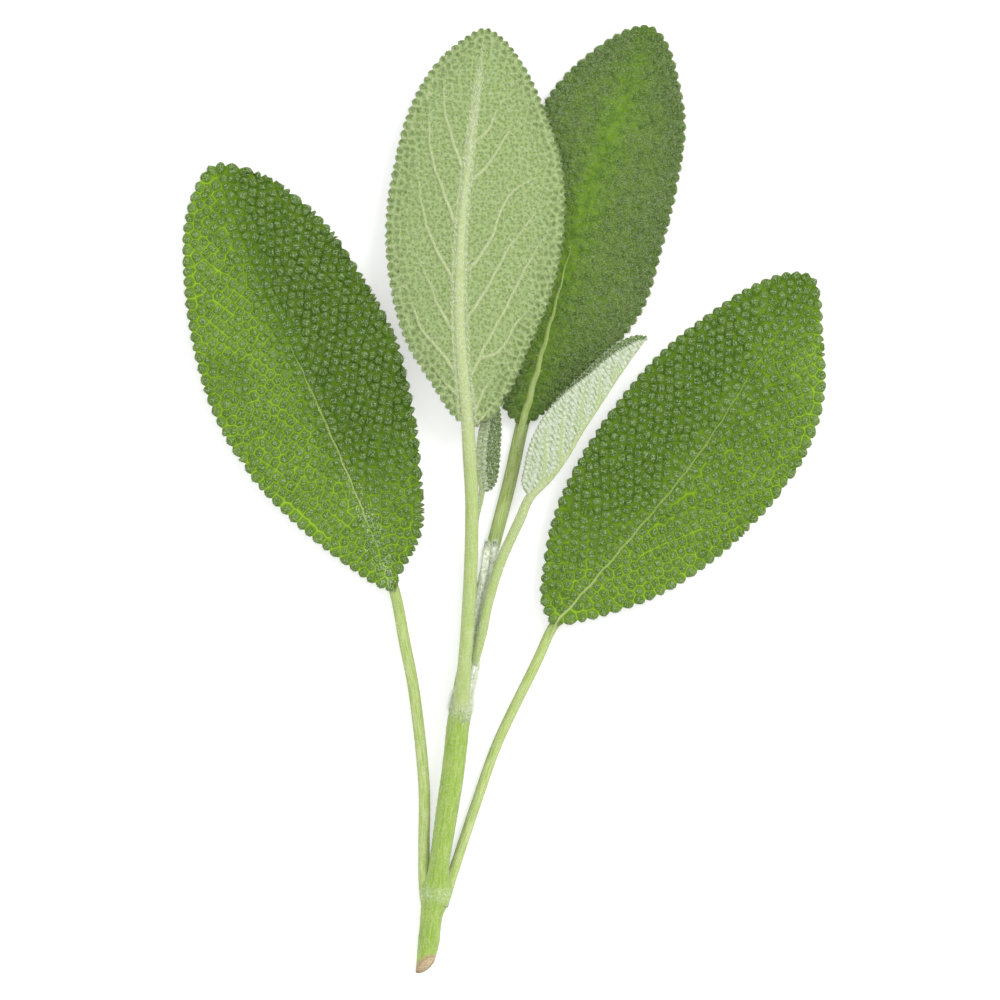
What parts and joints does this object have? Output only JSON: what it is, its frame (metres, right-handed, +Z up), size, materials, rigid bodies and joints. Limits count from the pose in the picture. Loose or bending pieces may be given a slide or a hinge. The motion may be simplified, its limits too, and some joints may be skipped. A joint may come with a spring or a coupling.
{
  "type": "sage sprig",
  "caption": "Cut sprig of common sage lying flat: a short stem with opposite pairs of stalked, blistered, round-toothed leaves, young folded leaves and a closed shoot tip.",
  "frame": {"origin": "middle of the sprig's footprint, on the surface that it lies on", "axes": "+Y along the sprig from the cut end towards the leaf tips, +X to the right as seen from above, +Z up from the surface"},
  "size_m": [0.0836, 0.1234, 0.0075],
  "materials": {
    "stem": "soft plant skin with fine pale hairs",
    "leaf_green": "matt blistered leaf with fine hairs",
    "leaf_underside": "matt pale felted leaf underside with raised veins",
    "leaf_woolly": "matt woolly young leaf"
  },
  "bodies": {
    "root": {"stem": "stem", "leaf_left": "leaf_green", "leaf_right": "leaf_green", "leaf_front": "leaf_underside", "leaf_back": "leaf_green", "leaf_folded": "leaf_woolly", "leaf_small": "leaf_woolly", "shoot_tip": "leaf_woolly"}
  },
  "joints": []
}
